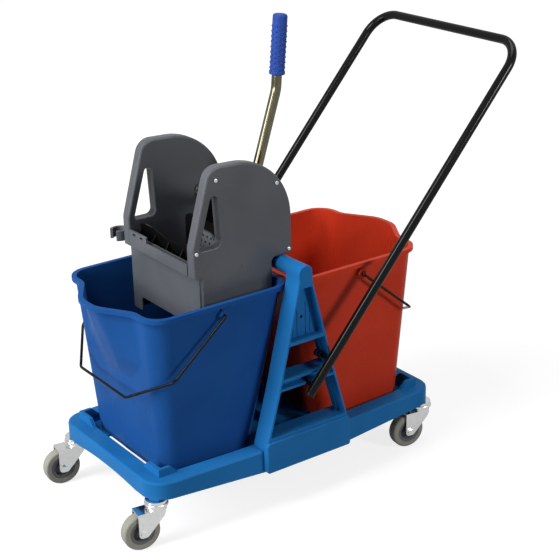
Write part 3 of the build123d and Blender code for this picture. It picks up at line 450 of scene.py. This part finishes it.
def grip_stud_tree():
    # Rows of small raised studs round a sleeve, every other row set over by half a step
    tree = bpy.data.node_groups.new("grip_studs", "GeometryNodeTree")
    ports = tree.interface
    ports.new_socket("Geometry", in_out="INPUT", socket_type="NodeSocketGeometry")
    ports.new_socket("Sleeve radius", in_out="INPUT", socket_type="NodeSocketFloat")
    ports.new_socket("Row pitch", in_out="INPUT", socket_type="NodeSocketFloat")
    ports.new_socket("Rows", in_out="INPUT", socket_type="NodeSocketInt")
    ports.new_socket("Studs around", in_out="INPUT", socket_type="NodeSocketInt")
    ports.new_socket("Stud size", in_out="INPUT", socket_type="NodeSocketVector")
    ports.new_socket("Finish", in_out="INPUT", socket_type="NodeSocketMaterial")
    ports.new_socket("Geometry", in_out="OUTPUT", socket_type="NodeSocketGeometry")
    given = add(tree, "NodeGroupInput")
    around = given.outputs["Studs around"]
    radius = given.outputs["Sleeve radius"]
    count = add(tree, "ShaderNodeMath", {"operation": "MULTIPLY"}, {0: given.outputs["Rows"], 1: around})
    number = add(tree, "GeometryNodeInputIndex")
    ratio = add(tree, "ShaderNodeMath", {"operation": "DIVIDE"}, {0: number.outputs["Index"], 1: around})
    row = add(tree, "ShaderNodeMath", {"operation": "FLOOR"}, {0: ratio.outputs["Value"]})
    odd = add(tree, "ShaderNodeMath", {"operation": "MODULO", 1: 2.0}, {0: row.outputs["Value"]})
    half = add(tree, "ShaderNodeMath", {"operation": "MULTIPLY", 1: 0.5}, {0: odd.outputs["Value"]})
    column = add(
        tree, "ShaderNodeMath",
        {"operation": "ADD"},
        {0: number.outputs["Index"], 1: half.outputs["Value"]},
    )
    share = add(tree, "ShaderNodeMath", {"operation": "DIVIDE"}, {0: column.outputs["Value"], 1: around})
    angle = add(
        tree, "ShaderNodeMath",
        {"operation": "MULTIPLY", 1: 2 * math.pi},
        {0: share.outputs["Value"]},
    )
    across = add(tree, "ShaderNodeMath", {"operation": "COSINE"}, {0: angle.outputs["Value"]})
    along = add(tree, "ShaderNodeMath", {"operation": "SINE"}, {0: angle.outputs["Value"]})
    x = add(tree, "ShaderNodeMath", {"operation": "MULTIPLY"}, {0: across.outputs["Value"], 1: radius})
    y = add(tree, "ShaderNodeMath", {"operation": "MULTIPLY"}, {0: along.outputs["Value"], 1: radius})
    z = add(
        tree, "ShaderNodeMath",
        {"operation": "MULTIPLY"},
        {0: row.outputs["Value"], 1: given.outputs["Row pitch"]},
    )
    spot = add(
        tree, "ShaderNodeCombineXYZ",
        None,
        {"X": x.outputs["Value"], "Y": y.outputs["Value"], "Z": z.outputs["Value"]},
    )
    spots = add(
        tree, "GeometryNodePoints",
        None,
        {"Count": count.outputs["Value"], "Position": spot.outputs["Vector"]},
    )
    turn = add(tree, "ShaderNodeCombineXYZ", None, {"Z": angle.outputs["Value"]})
    facing = add(tree, "FunctionNodeEulerToRotation", None, {"Euler": turn.outputs["Vector"]})
    stud = add(tree, "GeometryNodeMeshUVSphere", {"Segments": 8, "Rings": 6, "Radius": 1.0})
    spread = add(
        tree, "GeometryNodeInstanceOnPoints",
        None,
        {
            "Points": spots.outputs["Points"],
            "Instance": stud.outputs["Mesh"],
            "Rotation": facing.outputs["Rotation"],
            "Scale": given.outputs["Stud size"],
        },
    )
    real = add(tree, "GeometryNodeRealizeInstances", None, {"Geometry": spread.outputs["Instances"]})
    paint = add(
        tree, "GeometryNodeSetMaterial",
        None,
        {"Geometry": real.outputs["Geometry"], "Material": given.outputs["Finish"]},
    )
    add(tree, "NodeGroupOutput", None, {"Geometry": paint.outputs["Geometry"]})
    return tree


grip_top = at(106.0, 0, 998.0)
grip_foot = at(91.0, 0, 845.0)
grip_lean = (grip_top - grip_foot).normalized()
first_row_drop = 0.113
stud_mesh = bpy.data.meshes.new("grip_stud_seed")
stud_mesh.from_pydata([(0, 0, 0)], [], [])
studs = grow(
    bpy.data.objects.new("grip_stud_seed", stud_mesh),
    grip_stud_tree(),
    "lever_grip_studs",
    {
        "Sleeve radius": 0.0154,
        "Row pitch": 0.0054,
        "Rows": 18,
        "Studs around": 6,
        "Stud size": (0.0016, 0.0027, 0.0024),
        "Finish": grip_vinyl,
    },
    crease=80,
)
sleeve_side = Vector((0, 1, 0))
sleeve_front = sleeve_side.cross(grip_lean)
sleeve_turn = Matrix((sleeve_front, sleeve_side, grip_lean)).transposed().to_4x4()
studs.data.transform(Matrix.Translation(grip_top - grip_lean * first_row_drop) @ sleeve_turn)
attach(studs, "lever")

# Floor: a plain sheet of pale paper that keeps the trolley's soft shadow.
# It glows white to the camera, less in mirrored rays, and less close by, where lamps light it.
floor_half = 14.0
floor_gap = 0.0005
floor_corners = [(x * floor_half, y * floor_half, 0) for x, y in ((-1, -1), (1, -1), (1, 1), (-1, 1))]
floor_mesh = bpy.data.meshes.new("studio_floor")
floor_mesh.from_pydata(floor_corners, [], [(0, 1, 2, 3)])
floor = bpy.data.objects.new("studio_floor", floor_mesh)
floor.location.z = -floor_gap
bpy.context.scene.collection.objects.link(floor)
pale = bpy.data.materials.new("pale_paper_floor")
pale.use_nodes = True
pale_tree = pale.node_tree
pale_tree.nodes.clear()
rays = add(pale_tree, "ShaderNodeLightPath")
spread = add(pale_tree, "ShaderNodeTexCoord")
afar = add(pale_tree, "ShaderNodeVectorMath", {"operation": "LENGTH"}, {0: spread.outputs["Object"]})
fade = add(
    pale_tree, "ShaderNodeMapRange",
    {"From Min": 0.9, "From Max": 2.6, "To Min": 0.8, "To Max": 1.0},
    {"Value": afar.outputs["Value"]},
)
clear = add(
    pale_tree, "ShaderNodeMath",
    {"operation": "MAXIMUM"},
    {0: rays.outputs["Is Camera Ray"], 1: rays.outputs["Is Transmission Ray"]},
)
seen = add(
    pale_tree, "ShaderNodeMath",
    {"operation": "MULTIPLY_ADD", 1: 0.42},
    {0: rays.outputs["Is Glossy Ray"], 2: clear.outputs["Value"]},
)
lift = add(
    pale_tree, "ShaderNodeMath",
    {"operation": "MULTIPLY"},
    {0: seen.outputs["Value"], 1: fade.outputs["Result"]},
)
glow = add(pale_tree, "ShaderNodeEmission", {"Color": (1, 1, 1, 1)}, {"Strength": lift.outputs["Value"]})
matt = add(pale_tree, "ShaderNodeBsdfDiffuse", {"Color": (0.3, 0.3, 0.3, 1)})
both = add(pale_tree, "ShaderNodeAddShader", None, {0: glow.outputs["Emission"], 1: matt.outputs["BSDF"]})
add(pale_tree, "ShaderNodeOutputMaterial", None, {"Surface": both.outputs["Shader"]})
floor_mesh.materials.append(pale)

# Studio: a plain white room all round the trolley. It is white to the camera and through
# clear things, dimmer in mirrored rays, and adds only a little light of its own.
studio = bpy.data.worlds.new("white_studio")
bpy.context.scene.world = studio
studio.use_nodes = True
sky = studio.node_tree
sky.nodes.clear()
rays = add(sky, "ShaderNodeLightPath")
shine = add(
    sky, "ShaderNodeMapRange",
    {"To Min": 0.04, "To Max": 0.65},
    {"Value": rays.outputs["Is Glossy Ray"]},
)
clear = add(
    sky, "ShaderNodeMath",
    {"operation": "MAXIMUM"},
    {0: rays.outputs["Is Camera Ray"], 1: rays.outputs["Is Transmission Ray"]},
)
level = add(
    sky, "ShaderNodeMath",
    {"operation": "MAXIMUM"},
    {0: clear.outputs["Value"], 1: shine.outputs["Result"]},
)
white = add(sky, "ShaderNodeBackground", {"Color": (1, 1, 1, 1)}, {"Strength": level.outputs["Value"]})
add(sky, "ShaderNodeOutputWorld", None, {"Surface": white.outputs["Background"]})


# Lamps: square softboxes, most of them on the left, where the photograph's light comes from.
# The large key isn't mirrored in shiny pieces, so that plating doesn't clip to white. A
# smaller lamp below it draws the narrow streaks there instead.


def softbox(name, place, aim, size, power, mirrored=True):
    # A square lamp of a size in metres and a power in watts, turned to face a point
    lamp = bpy.data.lights.new(name, "AREA")
    lamp.shape = "SQUARE"
    lamp.size = size
    lamp.energy = power
    holder = bpy.data.objects.new(name, lamp)
    holder.location = place
    holder.visible_glossy = mirrored
    holder.rotation_euler = (Vector(aim) - Vector(place)).to_track_quat("-Z", "Y").to_euler()
    bpy.context.scene.collection.objects.link(holder)


softbox("left_key", (-3.3, 0.4, 2.1), (0, 0, 0.4), 2.0, 98, mirrored=False)
softbox("left_glint", (-3.3, 0.4, 1.4), (0, 0, 0.4), 0.9, 26)
softbox("high_left", (-2.4, -0.3, 3.4), (0, 0, 0.4), 1.1, 52)
softbox("front_fill", (-3.4, -1.0, 1.1), (0, 0, 0.4), 0.8, 18)
softbox("overhead", (0.6, 0.1, 3.3), (0, 0, 0.3), 1.6, 30)
softbox("right_fill", (1.2, -3.3, 1.8), (0, 0, 0.4), 0.8, 54)

# Camera: a long lens from the front left and above, where the photograph was taken from.
# Its place and turn come from fitting the base, wheels, frames and handle to the photograph.
azimuth, elevation, roll = math.radians(-35.40), math.radians(21.82), math.radians(-1.41)
frame_px = 560
focal_px = 1414.72
eye = at(-1589.14, -2361.48, 1575.01)
back = Vector((
    math.sin(azimuth) * math.cos(elevation),
    -math.cos(azimuth) * math.cos(elevation),
    math.sin(elevation),
))
right = Vector((math.cos(azimuth), math.sin(azimuth), 0))
up = back.cross(right)
turned_right = right * math.cos(roll) + up * math.sin(roll)
turned_up = up * math.cos(roll) - right * math.sin(roll)
lens = bpy.data.cameras.new("photo_view")
lens.sensor_fit = "HORIZONTAL"
lens.sensor_width = 36.0
lens.lens = lens.sensor_width * focal_px / frame_px
lens.clip_end = 60
camera = bpy.data.objects.new("photo_view", lens)
facing = Matrix((turned_right, turned_up, back)).transposed().to_4x4()
camera.matrix_world = Matrix.Translation(eye) @ facing
bpy.context.scene.collection.objects.link(camera)
bpy.context.scene.camera = camera

bpy.context.scene.view_settings.view_transform = "Standard"
